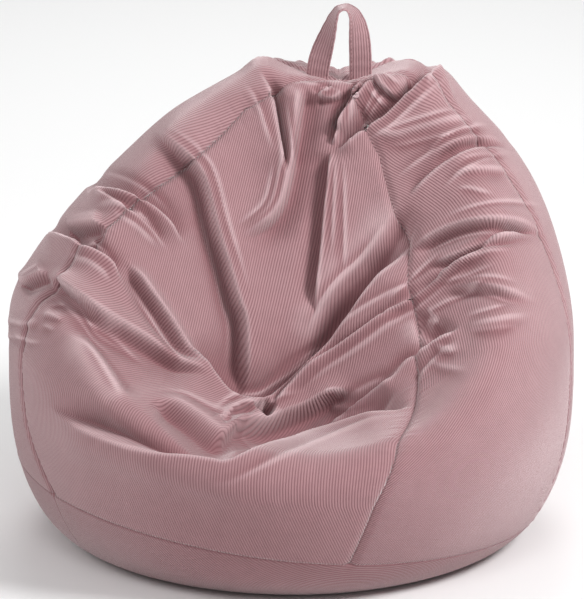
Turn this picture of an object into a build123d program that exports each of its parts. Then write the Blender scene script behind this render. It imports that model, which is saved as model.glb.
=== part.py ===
"""Bean bag chair: a six-gore corduroy cover on a round base, an inner liner full of beads,
a carry handle at the top and a zip fastener down the rear seam. Millimetres, +Z up, the
sitter faces -Y, and the origin is the middle of the footprint on the floor."""

import os
from math import atan, cos, degrees, radians, sin, sqrt

from build123d import *

# ---- Driving dimensions ------------------------------------------------------------------

# The filled bag without its seat: height, half width, sideways lean, front edge (y).
BAG_SECTIONS = [
    (0, 335, 0, -330),
    (20, 375, 0, -369),
    (50, 401, 0, -396),
    (85, 419, 0, -413),
    (150, 438, 0, -431),
    (240, 446, 0, -432),
    (320, 446, 0, -392),
    (400, 427, 6, -300),
    (480, 378, 26, -185),
    (560, 312, 45, -72),
    (630, 234, 62, 28),
    (675, 172, 72, 96),
    (700, 112, 76, 146),
]
FOOT_BACK = 330
LOW_BACK = 369
APEX = Vector(76, 212, 700)

# Above its rolled-under foot the rear profile is one arc, so that the zip can run along it.
REAR_RADIUS = 680
REAR_CENTRE_Y = -246
REAR_CENTRE_Z = 282

# The seat is a funnel: the point it narrows to, its opening angle and the fold at its bottom.
SEAT_LOW = Vector(0, -130, 205)
SEAT_HALF_ANGLE = 54.5
SEAT_LEAN = 25
SEAT_FOLD_RADIUS = 120
SEAT_REACH = 900
RIM_RADIUS = 45

# Layers from the outside in, as distances below the outer face.
COVER_THICKNESS = 2.5
LINER_OUTER = 14.4
LINER_THICKNESS = 0.8
FILL_OUTER = 15.8
LAYER_CENTRE = Vector(0, 30, 300)
LAYER_RADIUS = 430

# Seams: their bearings from the front, in degrees to the right, at each of the seam heights.
BASE_SEAM_Z = 85
BASE_SEAM_TILT = 6.3
SEAM_HEIGHTS = (-200, 250, 320, 430, 530, 620, 700, 1000)
FRONT_LEFT_SEAM = (303, 295, 294, 296, 295, 292, 292, 292)
FRONT_RIGHT_SEAM = (11, 16, 33, 42, 44, 36, 28, 28)
RIGHT_SEAM = (70,) * len(SEAM_HEIGHTS)
REAR_RIGHT_SEAM = (125,) * len(SEAM_HEIGHTS)
REAR_SEAM = (180,) * len(SEAM_HEIGHTS)
REAR_LEFT_SEAM = (248,) * len(SEAM_HEIGHTS)
PANELS = {
    "panel_front": (tuple(bearing - 360 for bearing in FRONT_LEFT_SEAM), FRONT_RIGHT_SEAM),
    "panel_right_front": (FRONT_RIGHT_SEAM, RIGHT_SEAM),
    "panel_right_rear": (RIGHT_SEAM, REAR_RIGHT_SEAM),
    "panel_rear_right": (REAR_RIGHT_SEAM, REAR_SEAM),
    "panel_rear_left": (REAR_SEAM, REAR_LEFT_SEAM),
    "panel_left": (REAR_LEFT_SEAM, FRONT_LEFT_SEAM),
}
CUTTER_REACH = 1400
CUTTER_DEPTH = 600

# The liner has two halves, joined in the plane of the rear seam, on a base of its own. A
# hook-and-loop strip behind the zip, given as bearings on the rear arc and radii, closes it.
LINER_BASE_Z = 55
CLOSURE_START = -3.0
CLOSURE_END = 17.0
CLOSURE_HALF_WIDTH = 10
CLOSURE_THICKNESS = 0.7
LOOP_LOW = REAR_RADIUS - 12.4
HOOK_LOW = LOOP_LOW + CLOSURE_THICKNESS

# The carry handle: a flat strap whose two ends are sewn in side by side.
STRAP_WIDTH = 36
STRAP_THICKNESS = 3
HANDLE_RISE = 94
HANDLE_FOOT_GAP = 1.4
HANDLE_STATIONS = [
    # along X, forward, share of the rise, turn of the strap
    (-35, 0, 0.00, 0),
    (-30, 1, 0.26, 12),
    (-22, 2, 0.54, 34),
    (-14, 1, 0.80, 62),
    (-5, 0, 0.96, 82),
    (6, 0, 1.00, 92),
    (17, -1, 0.93, 106),
    (25, -3, 0.76, 130),
    (31, -3, 0.52, 152),
    (35, -1, 0.26, 170),
    (36, 0, 0.00, 180),
]
PATCH_LENGTH = 112
PATCH_WIDTH = 36
PATCH_THICKNESS = 1.2
PATCH_GAP = 0.5
PATCH_CORNER = 8
PATCH_BACK = 12

# The zip, measured across the seam and along the radius of the rear arc.
ZIP_START = -16.0
ZIP_END = 27.0
SLOT_INSET = 8.0
SLOT_HALF_WIDTH = 6.5
SLOT_BELOW_TAPE = 5
SLOT_ABOVE_COVER = 10
TAPE_EDGE = 16.0
COIL_INNER = 0.9
COIL_OUTER = 3.4
TAPE_LOW = REAR_RADIUS - 8.2
TAPE_THICKNESS = 0.8
COIL_LOW = TAPE_LOW + TAPE_THICKNESS
COIL_HIGH = COIL_LOW + 2.4
STOP_LENGTH = 4.0
STOP_GAP = 1.0
PULL_ROOM = 22.0
SLIDER_LENGTH = 13.0
SLIDER_HALF_WIDTH = 5.0
PLATE_THICKNESS = 1.4
FLANGE_THICKNESS = 1.0
POST_HALF_WIDTH = 0.55
RUNNING_GAP = 0.35
BRIDGE_LENGTH = 7.4
BRIDGE_WIDTH = 2.4
BRIDGE_THICKNESS = 1.0
PULL_LENGTH = 32.0
PULL_WIDTH = 8.4
PULL_THICKNESS = 1.6
WINDOW_WIDTH = 4.8
WINDOW_LENGTH = 5.2

os.makedirs("parts", exist_ok=True)


def keep(piece, name):
    """Labels a finished piece and writes it."""
    piece.part.label = name
    export_step(piece.part, f"parts/{name}.step")


# ---- The bag's shape, at any depth below its outer face ----------------------------------

lean = atan(APEX.X / APEX.Z)
up_seam = Vector(sin(lean), 0, cos(lean))
across_seam = Vector(cos(lean), 0, -sin(lean))
rear_centre = Vector(0, REAR_CENTRE_Y, 0) + up_seam * (REAR_CENTRE_Z / cos(lean))


def rear_edge(height):
    """The y of the bag's back at a height: the rear arc, rolled under near the floor."""
    if height == 0:
        return FOOT_BACK
    if height < BASE_SEAM_Z / 2:
        return LOW_BACK
    above_centre = (height - REAR_CENTRE_Z) / cos(lean)
    return REAR_CENTRE_Y + sqrt(REAR_RADIUS**2 - above_centre**2)


def bag_shape(depth):
    """The filled bag with its seat pressed in, offset inwards by depth."""
    with BuildPart() as bag:
        for height, half_width, lean_x, front in BAG_SECTIONS:
            rear = rear_edge(height)
            with BuildSketch(Plane((lean_x, (front + rear) / 2, height))):
                Ellipse(half_width, (rear - front) / 2)
        loft()
    shrink = 1 - depth / LAYER_RADIUS
    smaller = Pos(LAYER_CENTRE * (1 - shrink)) * scale(bag.part, shrink)

    # The funnel's profile is drawn as (radius, distance along its own axis).
    funnel_dir = Vector(0, -sin(radians(SEAT_LEAN)), cos(radians(SEAT_LEAN)))
    half = radians(SEAT_HALF_ANGLE)
    ball_centre = SEAT_LOW + funnel_dir * SEAT_FOLD_RADIUS
    ball = SEAT_FOLD_RADIUS + depth
    tangent = (ball * cos(half), -ball * sin(half))
    rim = (tangent[0] + SEAT_REACH * sin(half), tangent[1] + SEAT_REACH * cos(half))
    profile_plane = Plane(ball_centre, x_dir=(1, 0, 0), z_dir=Vector(1, 0, 0).cross(funnel_dir))
    with BuildPart() as pressed:
        add(smaller)
        with BuildSketch(profile_plane):
            with BuildLine():
                RadiusArc((0, -ball), tangent, -ball)
                Line(tangent, rim)
                Line(rim, (0, rim[1]))
                Line((0, rim[1]), (0, -ball))
            make_face()
        revolve(axis=Axis(ball_centre, funnel_dir), mode=Mode.SUBTRACT)
        outside = pressed.edges().filter_by(lambda e: e.center().Z > BASE_SEAM_Z)
        rim_edges = outside.filter_by(GeomType.LINE, reverse=True)
        rim_edges = rim_edges.filter_by(GeomType.CIRCLE, reverse=True)
        fillet(rim_edges, RIM_RADIUS - depth)
    return pressed.part


def skin(outer, inner):
    """The layer of the bag between two depths."""
    return bag_shape(outer) - bag_shape(inner)


# ---- Cutters -----------------------------------------------------------------------------

def wedge(start_seam, end_seam):
    """The sector between two seams, both running from the axis outwards."""
    with BuildPart() as sector:
        for height, start, end in zip(SEAM_HEIGHTS, start_seam, end_seam):
            corners = [(0, 0)]
            for bearing in (start, (start + end) / 2, end):
                turn = radians(bearing)
                corners.append((CUTTER_REACH * sin(turn), -CUTTER_REACH * cos(turn)))
            with BuildSketch(Plane(APEX * (height / APEX.Z))):
                Polygon(*corners, align=None)
        loft(ruled=True)
    return sector.part


def below(height, tilt):
    """Everything under a plane that crosses the Z axis at a height and is tilted about Y."""
    with BuildPart() as slab:
        with Locations(Location((0, 0, height), (0, tilt, 0))):
            Box(CUTTER_REACH, CUTTER_REACH, CUTTER_DEPTH, align=(Align.CENTER, Align.CENTER, Align.MAX))
    return slab.part


def turn_of(length):
    """The turn, in degrees, that a length takes up along the rear arc."""
    return degrees(length / REAR_RADIUS)


def radial_at(bearing):
    """The outward direction at a bearing on the rear arc."""
    return Vector(0, 1, 0) * cos(radians(bearing)) + up_seam * sin(radians(bearing))


def arc_block(start, end, inner, outer, low, high):
    """A block that follows the rear arc: two bearings, two offsets across, two radii."""
    start_plane = Plane(rear_centre, x_dir=across_seam, z_dir=across_seam.cross(radial_at(start)))
    with BuildPart() as block:
        with BuildSketch(start_plane):
            with Locations(((inner + outer) / 2, (low + high) / 2)):
                Rectangle(outer - inner, high - low)
        revolve(axis=Axis(rear_centre, across_seam), revolution_arc=end - start)
    return block.part


# ---- Cover -------------------------------------------------------------------------------

cover = skin(0, COVER_THICKNESS)
base_zone = below(BASE_SEAM_Z, BASE_SEAM_TILT)
slot_start = ZIP_START + turn_of(SLOT_INSET)
slot_end = ZIP_END - turn_of(SLOT_INSET)
slot = arc_block(
    slot_start,
    slot_end,
    -SLOT_HALF_WIDTH,
    SLOT_HALF_WIDTH,
    TAPE_LOW - SLOT_BELOW_TAPE,
    REAR_RADIUS + SLOT_ABOVE_COVER,
)

with BuildPart() as base_panel:
    add(cover)
    add(base_zone, mode=Mode.INTERSECT)
keep(base_panel, "base_panel")

for panel_name, (seam_start, seam_end) in PANELS.items():
    sector = wedge(seam_start, seam_end)
    with BuildPart() as panel:
        add(cover)
        add(sector, mode=Mode.INTERSECT)
        add(base_zone, mode=Mode.SUBTRACT)
        if REAR_SEAM in (seam_start, seam_end):
            add(slot, mode=Mode.SUBTRACT)
    keep(panel, panel_name)

# ---- Liner and filling -------------------------------------------------------------------

liner = skin(LINER_OUTER, LINER_OUTER + LINER_THICKNESS)
liner_base_zone = below(LINER_BASE_Z, 0)

with BuildPart() as liner_base:
    add(liner)
    add(liner_base_zone, mode=Mode.INTERSECT)
keep(liner_base, "liner_base")

for half_name, side in {"liner_right": Keep.TOP, "liner_left": Keep.BOTTOM}.items():
    with BuildPart() as liner_half:
        add(liner)
        add(liner_base_zone, mode=Mode.SUBTRACT)
        split(bisect_by=Plane((0, 0, 0), z_dir=across_seam), keep=side)
    keep(liner_half, half_name)

for strip_name, low in {"liner_closure_loop": LOOP_LOW, "liner_closure_hook": HOOK_LOW}.items():
    half = CLOSURE_HALF_WIDTH
    tape = arc_block(CLOSURE_START, CLOSURE_END, -half, half, low, low + CLOSURE_THICKNESS)
    with BuildPart() as strip:
        add(tape)
    keep(strip, strip_name)

filling = bag_shape(FILL_OUTER)
with BuildPart() as bead_fill:
    add(filling)
keep(bead_fill, "bead_fill")

# ---- Carry handle ------------------------------------------------------------------------

handle_foot = APEX + Vector(0, 0, HANDLE_FOOT_GAP)
stations = []
for along, forward, rise, turn in HANDLE_STATIONS:
    stations.append(handle_foot + Vector(along, -forward, rise * HANDLE_RISE))

with BuildPart() as carry_handle:
    for index, centre in enumerate(stations):
        before = stations[max(index - 1, 0)]
        after = stations[min(index + 1, len(stations) - 1)]
        tangent = (after - before).normalized()
        if index == 0:
            tangent = Vector(0, 0, 1)
        if index == len(stations) - 1:
            tangent = Vector(0, 0, -1)
        turn = radians(HANDLE_STATIONS[index][3])
        across = Vector(-cos(turn), sin(turn), 0)
        across = (across - tangent * across.dot(tangent)).normalized()
        with BuildSketch(Plane(centre, x_dir=across, z_dir=tangent)):
            Rectangle(STRAP_WIDTH, STRAP_THICKNESS)
    loft()
keep(carry_handle, "carry_handle")

with BuildPart() as handle_patch:
    with Locations(APEX + Vector(0, PATCH_BACK, -COVER_THICKNESS - PATCH_GAP)):
        Box(PATCH_LENGTH, PATCH_WIDTH, PATCH_THICKNESS, align=(Align.CENTER, Align.CENTER, Align.MAX))
    fillet(handle_patch.edges().filter_by(Axis.Z), PATCH_CORNER)
keep(handle_patch, "handle_patch")

# ---- Zip ---------------------------------------------------------------------------------

bottom_stop_start = slot_start + turn_of(PULL_ROOM)
bottom_stop_end = bottom_stop_start + turn_of(STOP_LENGTH)
top_stop_end = slot_end - turn_of(STOP_GAP)
top_stop_start = top_stop_end - turn_of(STOP_LENGTH)
slider_end = top_stop_start - turn_of(STOP_GAP)
slider_start = slider_end - turn_of(SLIDER_LENGTH)

for side, side_name in ((-1, "left"), (1, "right")):
    tape_edges = sorted((side * COIL_INNER, side * TAPE_EDGE))
    tape = arc_block(ZIP_START, ZIP_END, *tape_edges, TAPE_LOW, COIL_LOW)
    with BuildPart() as zip_tape:
        add(tape)
    keep(zip_tape, f"zip_tape_{side_name}")
    coil_edges = sorted((side * COIL_INNER, side * COIL_OUTER))
    coil = arc_block(bottom_stop_end, top_stop_start, *coil_edges, COIL_LOW, COIL_HIGH)
    with BuildPart() as zip_coil:
        add(coil)
    keep(zip_coil, f"zip_coil_{side_name}")

stop_ends = {
    "zip_bottom_stop": (bottom_stop_start, bottom_stop_end),
    "zip_top_stop": (top_stop_start, top_stop_end),
}
for stop_name, (start, end) in stop_ends.items():
    clamp = arc_block(start, end, -COIL_OUTER, COIL_OUTER, COIL_LOW, COIL_HIGH)
    with BuildPart() as stop:
        add(clamp)
    keep(stop, stop_name)

# The slider's two plates hold both coils; a post between the coils joins the plates.
lower_plate_top = TAPE_LOW - RUNNING_GAP
upper_plate_low = COIL_HIGH + RUNNING_GAP
upper_plate_top = upper_plate_low + PLATE_THICKNESS
flange_inner = SLIDER_HALF_WIDTH - FLANGE_THICKNESS
flange_low = COIL_LOW + RUNNING_GAP
pivot_radius = upper_plate_top + RUNNING_GAP + PULL_THICKNESS / 2
pivot_bearing = (slider_start + slider_end) / 2
pivot_plane = Plane(
    rear_centre + radial_at(pivot_bearing) * pivot_radius,
    x_dir=across_seam,
    z_dir=radial_at(pivot_bearing),
)
slider_blocks = [
    (-SLIDER_HALF_WIDTH, SLIDER_HALF_WIDTH, lower_plate_top - PLATE_THICKNESS, lower_plate_top),
    (-SLIDER_HALF_WIDTH, SLIDER_HALF_WIDTH, upper_plate_low, upper_plate_top),
    (-SLIDER_HALF_WIDTH, -flange_inner, flange_low, upper_plate_low),
    (flange_inner, SLIDER_HALF_WIDTH, flange_low, upper_plate_low),
    (-POST_HALF_WIDTH, POST_HALF_WIDTH, lower_plate_top, upper_plate_low),
]
bridge_room = PULL_THICKNESS / 2 + RUNNING_GAP
bridge_height = 2 * bridge_room + BRIDGE_THICKNESS + PLATE_THICKNESS / 2

with BuildPart() as bridge:
    with BuildSketch(pivot_plane.offset(bridge_room + BRIDGE_THICKNESS)):
        Rectangle(BRIDGE_WIDTH, BRIDGE_LENGTH)
    extrude(amount=-bridge_height)
    with BuildSketch(pivot_plane.offset(bridge_room)):
        Rectangle(BRIDGE_WIDTH, BRIDGE_LENGTH - 2 * BRIDGE_THICKNESS)
    extrude(amount=-bridge_height, mode=Mode.SUBTRACT)

plates = [arc_block(slider_start, slider_end, *block) for block in slider_blocks]
with BuildPart() as zip_slider:
    add(plates)
    add(bridge.part)
keep(zip_slider, "zip_slider")

with BuildPart() as zip_pull:
    with BuildSketch(pivot_plane.offset(-PULL_THICKNESS / 2)):
        with Locations((0, PULL_LENGTH / 2)):
            Rectangle(PULL_WIDTH, PULL_LENGTH)
        with Locations((0, PULL_THICKNESS / 2 + WINDOW_LENGTH / 2)):
            Rectangle(WINDOW_WIDTH, WINDOW_LENGTH, mode=Mode.SUBTRACT)
    extrude(amount=PULL_THICKNESS)
    with Locations(pivot_plane.location):
        Cylinder(PULL_THICKNESS / 2, PULL_WIDTH, rotation=(0, 90, 0))
keep(zip_pull, "zip_pull")
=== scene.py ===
"""The bean bag chair's looks: its corduroy cover with its folds, seams and stitching, the carry
strap, the zip and what the cover holds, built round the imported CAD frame. Metres, +Z up."""

import math

import bpy
import numpy as np
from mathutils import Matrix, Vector
from mathutils.bvhtree import BVHTree


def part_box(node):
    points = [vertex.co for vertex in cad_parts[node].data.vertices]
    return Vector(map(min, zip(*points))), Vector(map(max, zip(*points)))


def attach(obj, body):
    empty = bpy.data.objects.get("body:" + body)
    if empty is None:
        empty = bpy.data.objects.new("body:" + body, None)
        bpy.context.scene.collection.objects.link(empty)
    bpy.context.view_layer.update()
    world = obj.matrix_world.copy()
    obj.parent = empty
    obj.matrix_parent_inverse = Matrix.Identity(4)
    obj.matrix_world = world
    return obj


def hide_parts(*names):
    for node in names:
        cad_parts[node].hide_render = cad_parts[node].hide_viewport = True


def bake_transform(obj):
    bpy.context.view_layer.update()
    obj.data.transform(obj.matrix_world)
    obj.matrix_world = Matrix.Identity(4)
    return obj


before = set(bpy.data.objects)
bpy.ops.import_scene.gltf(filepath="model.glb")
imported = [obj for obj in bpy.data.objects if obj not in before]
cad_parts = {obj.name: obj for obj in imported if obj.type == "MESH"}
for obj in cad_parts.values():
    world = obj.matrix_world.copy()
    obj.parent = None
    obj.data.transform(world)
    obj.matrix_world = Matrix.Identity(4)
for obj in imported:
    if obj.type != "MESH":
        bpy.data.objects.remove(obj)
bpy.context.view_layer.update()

rng = np.random.default_rng(11)
MM = 0.001

# ---- Places on the bag ----

APEX = np.array([0.076, 0.212, 0.700])
BASE_SEAM_Z = 0.085
BASE_SEAM_SLOPE = math.tan(math.radians(6.3))
# The seams' bearings from the front, in degrees to the right, at each of these shares of the way
# from the base seam to the apex.
SEAM_SHARES = (0, 0.1, 0.2, 0.35, 0.5, 0.65, 0.8, 0.9, 1)
SEAMS = {
    "front_left": (-56, -63, -66, -64, -64, -67, -69, -64, -60),
    "front_right": (11, 13, 17, 27, 37, 43, 42, 33, 28),
    "right": (70,) * len(SEAM_SHARES),
    "rear_right": (125,) * len(SEAM_SHARES),
    "rear": (180,) * len(SEAM_SHARES),
    "rear_left": (248,) * len(SEAM_SHARES),
}
# Each panel's two seams and how many columns of vertices it gets.
GORES = {
    "panel_front": ("front_left", "front_right", 140),
    "panel_right_front": ("front_right", "right", 115),
    "panel_right_rear": ("right", "rear_right", 84),
    "panel_rear_right": ("rear_right", "rear", 80),
    "panel_rear_left": ("rear", "rear_left", 90),
    "panel_left": ("rear_left", "front_left", 100),
}
# Where the ribs' straight grain crosses a panel, as a share of its width at each seam share. It is
# in the middle of the panels that aren't listed.
GRAIN = {
    "panel_front": (0.50, 0.48, 0.46, 0.44, 0.43, 0.46, 0.52, 0.57, 0.60),
    "panel_right_front": (0.02, 0.24, 0.44, 0.66, 0.72, 0.66, 0.46, 0.25, 0.15),
}
MIDDLE_GRAIN = (0.5,) * len(SEAM_SHARES)
# Rows of vertices above the base seam and below it.
ROWS = 330
BASE_ROWS = 80
CLOTH_THICKNESS = 2.2 * MM

# ---- Camera ----

CAMERA_ELEVATION = math.radians(18)
CAMERA_DISTANCE = 12.0
CAMERA_TARGET = np.array([0.001, 0.0, 0.373])
FRAME_HEIGHT = 0.944
SENSOR = 36.0
view_back = np.array([0.0, -math.cos(CAMERA_ELEVATION), math.sin(CAMERA_ELEVATION)])
view_up = np.array([0.0, math.sin(CAMERA_ELEVATION), math.cos(CAMERA_ELEVATION)])
view_right = np.array([1.0, 0.0, 0.0])


def placed(name, data):
    """A new object in the scene."""
    thing = bpy.data.objects.new(name, data)
    bpy.context.collection.objects.link(thing)
    return thing


def aim(thing, direction):
    thing.rotation_mode = "QUATERNION"
    thing.rotation_quaternion = Vector(direction).to_track_quat("-Z", "Y")


def make_camera():
    data = bpy.data.cameras.new("camera")
    data.sensor_width = SENSOR
    data.lens = SENSOR * CAMERA_DISTANCE / FRAME_HEIGHT
    data.clip_end = 60
    camera = placed("camera", data)
    camera.location = CAMERA_TARGET + view_back * CAMERA_DISTANCE
    aim(camera, -view_back)
    bpy.context.scene.camera = camera


def on_front_plane(points):
    """Where points appear, right and up, on the plane through the origin facing the front view."""
    away = points - CAMERA_TARGET
    nearer = CAMERA_DISTANCE / (CAMERA_DISTANCE - away @ view_back)
    across = (away @ view_right) * nearer + CAMERA_TARGET @ view_right
    up = (away @ view_up) * nearer + CAMERA_TARGET @ view_up
    return np.stack([across, up], -1)


# ---- The filled shape, read off the CAD panels ----

def cad_surface(nodes):
    """A tree of some nodes' CAD faces, for finding the bag's surface."""
    vertices = []
    faces = []
    for name in nodes:
        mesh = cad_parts[name].data
        start = len(vertices)
        vertices.extend(v.co.copy() for v in mesh.vertices)
        faces.extend([start + i for i in p.vertices] for p in mesh.polygons)
    return BVHTree.FromPolygons(vertices, faces)


outer_tree = cad_surface(["base_panel", *GORES])
# Rays run inwards from outside the bag to EYE, on the line from under its middle to the apex.
EYE = APEX * (BASE_SEAM_Z / APEX[2])
RAYS = 620
REACH = 1.6
NEAREST_HIT = 0.05
LOWEST_CLIMB = -math.radians(89)
# A ray can slip between two panels, so an outline with fewer hits is taken a little further round.
ENOUGH_HITS = 0.9 * RAYS
SIDESTEP = 0.15
BASE_SEAM_RADIUS = 0.2
OUTLINE_SOFTENING = 3


def size_of(vectors):
    return np.linalg.norm(vectors, axis=-1)


def unit(vectors):
    return vectors / size_of(vectors)[..., None]


def lengths_along(points):
    """How far along a line each of its points is."""
    return np.r_[0, np.cumsum(size_of(np.diff(points, axis=0)))]


def at_lengths(at, lengths, points):
    """Points of a line at some lengths along it."""
    return np.stack([np.interp(at, lengths, points[:, k]) for k in range(3)], -1)


def section(bearing):
    """The bag's outline on one side of its axis, from under its middle to the apex."""
    turn = math.radians(bearing)
    outward = np.array([math.sin(turn), -math.cos(turn), 0.0])
    axis = unit(APEX - EYE)
    points = []
    for climb in np.linspace(LOWEST_CLIMB, math.pi / 2, RAYS):
        direction = unit(outward * math.cos(climb) + axis * math.sin(climb))
        far = EYE + direction * REACH
        hit = outer_tree.ray_cast(Vector(far), Vector(-direction), REACH)[0]
        if hit is not None and (hit - Vector(EYE)).length > NEAREST_HIT:
            points.append(tuple(hit))
    return np.array(points)


def spaced(points, count):
    """A line of points resampled to even spacing."""
    lengths = lengths_along(points)
    return at_lengths(np.linspace(0, lengths[-1], count), lengths, points)


def above_base_seam(points):
    """The points' heights above the base seam's sloping plane."""
    return points[:, 2] - (BASE_SEAM_Z - BASE_SEAM_SLOPE * points[:, 0])


def softened(grid, rounds):
    """A grid closed round the bag with neighbours along its rows and columns averaged."""
    for _ in range(rounds):
        sides = (np.roll(grid, 1, 0) + np.roll(grid, -1, 0)) / 2
        inner = grid.copy()
        inner[:, 1:-1] = grid[:, 1:-1] / 2 + (grid[:, :-2] + grid[:, 2:]) / 8 + sides[:, 1:-1] / 4
        inner[:, 0] = grid[:, 0] / 2 + sides[:, 0] / 2
        inner[:, -1] = grid[:, -1] / 2 + sides[:, -1] / 2
        grid = inner
    return grid


def read_shape():
    """The bag's outlines at every degree round it: above the base seam, and below it."""
    upper = []
    lower = []
    for bearing in range(360):
        outline = section(bearing)
        if len(outline) < ENOUGH_HITS:
            outline = section(bearing + SIDESTEP)
        height = above_base_seam(outline)
        outward = np.hypot(outline[:, 0], outline[:, 1])
        first = np.argmax((height > 0) & (outward > BASE_SEAM_RADIUS))
        share = height[first - 1] / (height[first - 1] - height[first])
        crossing = outline[first - 1] + (outline[first] - outline[first - 1]) * share
        upper.append(spaced(np.vstack([crossing, outline[first:], APEX]), ROWS))
        lower.append(spaced(np.vstack([[0, 0, 0], outline[:first], crossing]), BASE_ROWS))
    return [softened(np.array(half), OUTLINE_SOFTENING) for half in (upper, lower)]


def between(outlines, bearing):
    """Points of the outlines at a bearing for every row, between the two nearest degrees."""
    whole = np.floor(bearing).astype(int)
    part = (bearing - whole)[:, None]
    rows = np.arange(outlines.shape[1])
    return outlines[whole % 360, rows] * (1 - part) + outlines[(whole + 1) % 360, rows] * part


def gore_columns(outlines, shares, start_seam, end_seam, count):
    """The columns of one gore from its first seam up to, but not on, its last."""
    turn = 360 if SEAMS[end_seam][0] < SEAMS[start_seam][0] else 0
    first = np.interp(shares, SEAM_SHARES, SEAMS[start_seam])
    last = np.interp(shares, SEAM_SHARES, SEAMS[end_seam]) + turn
    return np.array([between(outlines, first + (last - first) * i / count) for i in range(count)])


def lay_out():
    """The whole bag as one grid of columns by rows, from under its middle to its apex."""
    upper, lower = read_shape()
    grid = []
    for start_seam, end_seam, count in GORES.values():
        above = gore_columns(upper, np.linspace(0, 1, ROWS), start_seam, end_seam, count)
        below = gore_columns(lower, np.zeros(BASE_ROWS), start_seam, end_seam, count)
        grid.append(np.concatenate([below, above[:, 1:]], axis=1))
    return np.concatenate(grid)


def normals_of(grid):
    """Outward normals of a closed grid of columns by rows."""
    along_row = np.roll(grid, -1, 0) - np.roll(grid, 1, 0)
    up_column = np.gradient(grid, axis=1)
    normal = np.cross(along_row, up_column)
    return normal / np.maximum(size_of(normal), 1e-9)[..., None]


# ---- Folds ----
# A fold is a line on the front view's plane, in millimetres right of and above the origin. Its
# crest stands up by rise and falls sharply on the right-hand side of its direction of travel,
# into a hollow of depth drop. near and far are the widths of the crest and of the hollow, edge
# the width of the fall, and over how far the crest laps over the hollow. Over the shares of the
# line that ends gives, the fold fades in and out.

FOLD_GAIN = 1.75
FOLD_WIDTH = 1.25
FOLD_REACH = 2.6
# The band of painted highlight along each fold's crest: its place beside the crest and its width.
PAINTED_HIGHLIGHT_PLACE = 1.5 * MM
PAINTED_HIGHLIGHT_WIDTH = 3.2 * MM
# How far from the fall the lap still pushes the cloth: a share of the fall's width, and a width.
LAP_SHARE = 1.6
LAP_WIDTH = 4 * MM


def fold(points, rise=6, drop=6, near=14, far=14, edge=5, over=2, ends=(0.15, 0.15)):
    """A fold's sizes in metres, from those in millimetres."""
    return dict(points=np.array(points, float) * MM, rise=rise * MM * FOLD_GAIN,
                drop=drop * MM * FOLD_GAIN, near=near * MM * FOLD_WIDTH, far=far * MM * FOLD_WIDTH,
                edge=edge * MM, over=over * MM, ends=ends)


def ridge(points, rise=5, width=12, ends=(0.2, 0.2)):
    return fold(points, rise, 0, width, width, width, 0, ends)


def hollow(points, drop=8, width=16, ends=(0.2, 0.2)):
    return fold(points, -drop, 0, width, width, width, 0, ends)


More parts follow.
